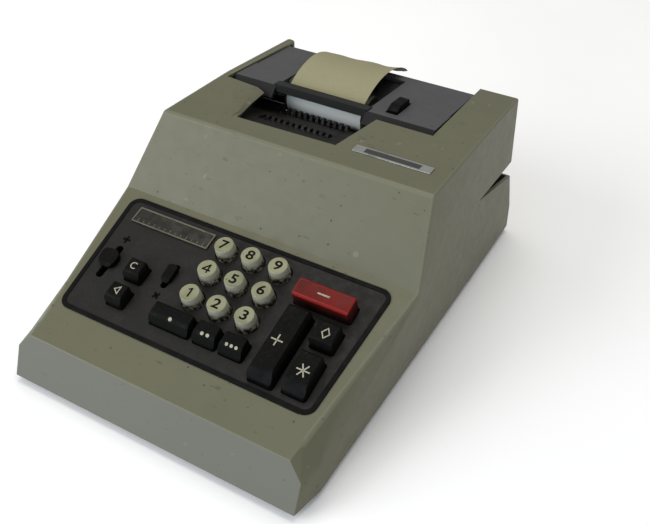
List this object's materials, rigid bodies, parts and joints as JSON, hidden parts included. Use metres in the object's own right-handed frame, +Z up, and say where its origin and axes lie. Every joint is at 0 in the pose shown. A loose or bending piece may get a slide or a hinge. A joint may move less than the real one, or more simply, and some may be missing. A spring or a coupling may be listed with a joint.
{
  "type": "ten-key printing adding machine",
  "caption": "Desk adding machine with a wedge case, sloped ten-key keyboard with function bars and levers, and a paper printer under a hinged cover in the hood.",
  "frame": {"origin": "on the table under the middle of the case", "axes": "+X to the operator's right, +Y from the keyboard to the back, +Z up"},
  "size_m": [0.2288, 0.331, 0.1289],
  "materials": {
    "case_paint": "satin",
    "dark_steel": "satin",
    "rubber_black": "matte",
    "steel": "satin",
    "panel_black": "matte",
    "key_cream": "satin",
    "key_black": "gloss",
    "key_red": "gloss",
    "lens_clear": "gloss",
    "scale_card": "matte",
    "brass_part": "satin",
    "cover_grey": "satin",
    "platen_rubber": "matte",
    "paper": "matte",
    "spindle_plastic": "matte",
    "motor_paint": "satin"
  },
  "bodies": {
    "case": {"housing": "case_paint", "base_pan": "dark_steel", "feet": "rubber_black", "foot_screws": "steel", "side_frame_left": "steel", "side_frame_right": "steel", "frame_screws": "steel", "tie_rods": "steel", "keyboard_panel": "panel_black", "panel_gasket": "rubber_black", "key_guide_plate": "steel", "indicator_lens": "lens_clear", "indicator_scale": "scale_card", "carriage_rods": "steel", "cover_pin": "steel", "type_guide": "dark_steel", "paper_strip": "paper", "motor": "motor_paint", "drive_belt": "rubber_black", "power_inlet": "key_black", "inlet_pins": "brass_part", "badge_plate": "steel"},
    "key_1_body": {"key_1": "key_cream"},
    "key_2_body": {"key_2": "key_cream"},
    "key_3_body": {"key_3": "key_cream"},
    "key_4_body": {"key_4": "key_cream"},
    "key_5_body": {"key_5": "key_cream"},
    "key_6_body": {"key_6": "key_cream"},
    "key_7_body": {"key_7": "key_cream"},
    "key_8_body": {"key_8": "key_cream"},
    "key_9_body": {"key_9": "key_cream"},
    "key_zero_body": {"key_zero": "key_black"},
    "key_double_zero_body": {"key_double_zero": "key_black"},
    "key_triple_zero_body": {"key_triple_zero": "key_black"},
    "plus_bar_body": {"plus_bar": "key_black"},
    "minus_bar_body": {"minus_bar": "key_red"},
    "subtotal_key_body": {"subtotal_key": "key_black"},
    "total_key_body": {"total_key": "key_black"},
    "clear_key_body": {"clear_key": "key_black"},
    "correction_key_body": {"correction_key": "key_black"},
    "sign_slide": {"sign_lever": "key_black"},
    "repeat_slide": {"repeat_lever": "key_black"},
    "carriage": {"pin_carriage": "brass_part", "column_pointer": "key_red"},
    "cover": {"paper_cover": "cover_grey", "tear_bar": "cover_grey"},
    "release": {"release_lever": "key_black"},
    "platen_unit": {"platen": "platen_rubber", "platen_shaft": "steel", "platen_ratchet": "steel"},
    "press_unit": {"pressure_roller": "platen_rubber"},
    "type_unit": {"type_bars": "key_black"},
    "roll_unit": {"paper_roll": "paper", "paper_spindle": "spindle_plastic"},
    "main_unit": {"main_shaft": "steel", "main_pulley": "steel", "drive_cams": "steel"},
    "motor_unit": {"motor_pulley": "steel"}
  },
  "joints": [
    {"name": "key_1_press", "type": "slide", "parent": "case", "child": "key_1_body", "axis": [0, 0.3156, -0.9489], "range_m": [0, 0.004], "stiffness_N_per_m": 200},
    {"name": "key_2_press", "type": "slide", "parent": "case", "child": "key_2_body", "axis": [0, 0.3156, -0.9489], "range_m": [0, 0.004], "stiffness_N_per_m": 200},
    {"name": "key_3_press", "type": "slide", "parent": "case", "child": "key_3_body", "axis": [0, 0.3156, -0.9489], "range_m": [0, 0.004], "stiffness_N_per_m": 200},
    {"name": "key_4_press", "type": "slide", "parent": "case", "child": "key_4_body", "axis": [0, 0.3156, -0.9489], "range_m": [0, 0.004], "stiffness_N_per_m": 200},
    {"name": "key_5_press", "type": "slide", "parent": "case", "child": "key_5_body", "axis": [0, 0.3156, -0.9489], "range_m": [0, 0.004], "stiffness_N_per_m": 200},
    {"name": "key_6_press", "type": "slide", "parent": "case", "child": "key_6_body", "axis": [0, 0.3156, -0.9489], "range_m": [0, 0.004], "stiffness_N_per_m": 200},
    {"name": "key_7_press", "type": "slide", "parent": "case", "child": "key_7_body", "axis": [0, 0.3156, -0.9489], "range_m": [0, 0.004], "stiffness_N_per_m": 200},
    {"name": "key_8_press", "type": "slide", "parent": "case", "child": "key_8_body", "axis": [0, 0.3156, -0.9489], "range_m": [0, 0.004], "stiffness_N_per_m": 200},
    {"name": "key_9_press", "type": "slide", "parent": "case", "child": "key_9_body", "axis": [0, 0.3156, -0.9489], "range_m": [0, 0.004], "stiffness_N_per_m": 200},
    {"name": "key_zero_press", "type": "slide", "parent": "case", "child": "key_zero_body", "axis": [0, 0.3156, -0.9489], "range_m": [0, 0.004], "stiffness_N_per_m": 200},
    {"name": "key_double_zero_press", "type": "slide", "parent": "case", "child": "key_double_zero_body", "axis": [0, 0.3156, -0.9489], "range_m": [0, 0.004], "stiffness_N_per_m": 200},
    {"name": "key_triple_zero_press", "type": "slide", "parent": "case", "child": "key_triple_zero_body", "axis": [0, 0.3156, -0.9489], "range_m": [0, 0.004], "stiffness_N_per_m": 200},
    {"name": "plus_bar_press", "type": "slide", "parent": "case", "child": "plus_bar_body", "axis": [0, 0.3156, -0.9489], "range_m": [0, 0.004], "stiffness_N_per_m": 200},
    {"name": "minus_bar_press", "type": "slide", "parent": "case", "child": "minus_bar_body", "axis": [0, 0.3156, -0.9489], "range_m": [0, 0.004], "stiffness_N_per_m": 200},
    {"name": "subtotal_key_press", "type": "slide", "parent": "case", "child": "subtotal_key_body", "axis": [0, 0.3156, -0.9489], "range_m": [0, 0.004], "stiffness_N_per_m": 200},
    {"name": "total_key_press", "type": "slide", "parent": "case", "child": "total_key_body", "axis": [0, 0.3156, -0.9489], "range_m": [0, 0.004], "stiffness_N_per_m": 200},
    {"name": "clear_key_press", "type": "slide", "parent": "case", "child": "clear_key_body", "axis": [0, 0.3156, -0.9489], "range_m": [0, 0.004], "stiffness_N_per_m": 200},
    {"name": "correction_key_press", "type": "slide", "parent": "case", "child": "correction_key_body", "axis": [0, 0.3156, -0.9489], "range_m": [0, 0.004], "stiffness_N_per_m": 200},
    {"name": "sign_lever_slide", "type": "slide", "parent": "case", "child": "sign_slide", "axis": [0, 0.9489, 0.3156], "range_m": [-0.0102, 0.0082]},
    {"name": "repeat_lever_slide", "type": "slide", "parent": "case", "child": "repeat_slide", "axis": [0, 0.9489, 0.3156], "range_m": [-0.0061, 0.0051]},
    {"name": "carriage_slide", "type": "slide", "parent": "case", "child": "carriage", "axis": [-1, 0, 0], "range_m": [0, 0.046]},
    {"name": "cover_hinge", "type": "hinge", "parent": "case", "child": "cover", "pos_m": [0, 0.1415, 0.105], "axis": [-1, 0, 0], "range_deg": [0, 60]},
    {"name": "release_lever_hinge", "type": "hinge", "parent": "cover", "child": "release", "pos_m": [0.033, 0.0955, 0.1132], "axis": [1, 0, 0], "range_deg": [-6, 6]},
    {"name": "platen_turn", "type": "hinge", "parent": "case", "child": "platen_unit", "pos_m": [0, 0.0995, 0.107], "axis": [1, 0, 0], "continuous": true},
    {"name": "pressure_roller_turn", "type": "hinge", "parent": "case", "child": "press_unit", "pos_m": [0, 0.0905, 0.0883], "axis": [1, 0, 0], "continuous": true},
    {"name": "type_bars_strike", "type": "slide", "parent": "case", "child": "type_unit", "axis": [0, 0.9636, -0.2672], "range_m": [0, 0.0016], "stiffness_N_per_m": 200},
    {"name": "paper_roll_turn", "type": "hinge", "parent": "case", "child": "roll_unit", "pos_m": [0, 0.1325, 0.079], "axis": [1, 0, 0], "continuous": true},
    {"name": "main_shaft_turn", "type": "hinge", "parent": "case", "child": "main_unit", "pos_m": [0, 0.0005, 0.051], "axis": [1, 0, 0], "continuous": true},
    {"name": "motor_shaft_turn", "type": "hinge", "parent": "case", "child": "motor_unit", "pos_m": [0, 0.0505, 0.039], "axis": [1, 0, 0], "continuous": true}
  ],
  "couplings": [
    {"joint": "pressure_roller_turn", "follows": "platen_turn", "ratio": -2.3333},
    {"joint": "motor_shaft_turn", "follows": "main_shaft_turn", "ratio": 2.75}
  ]
}
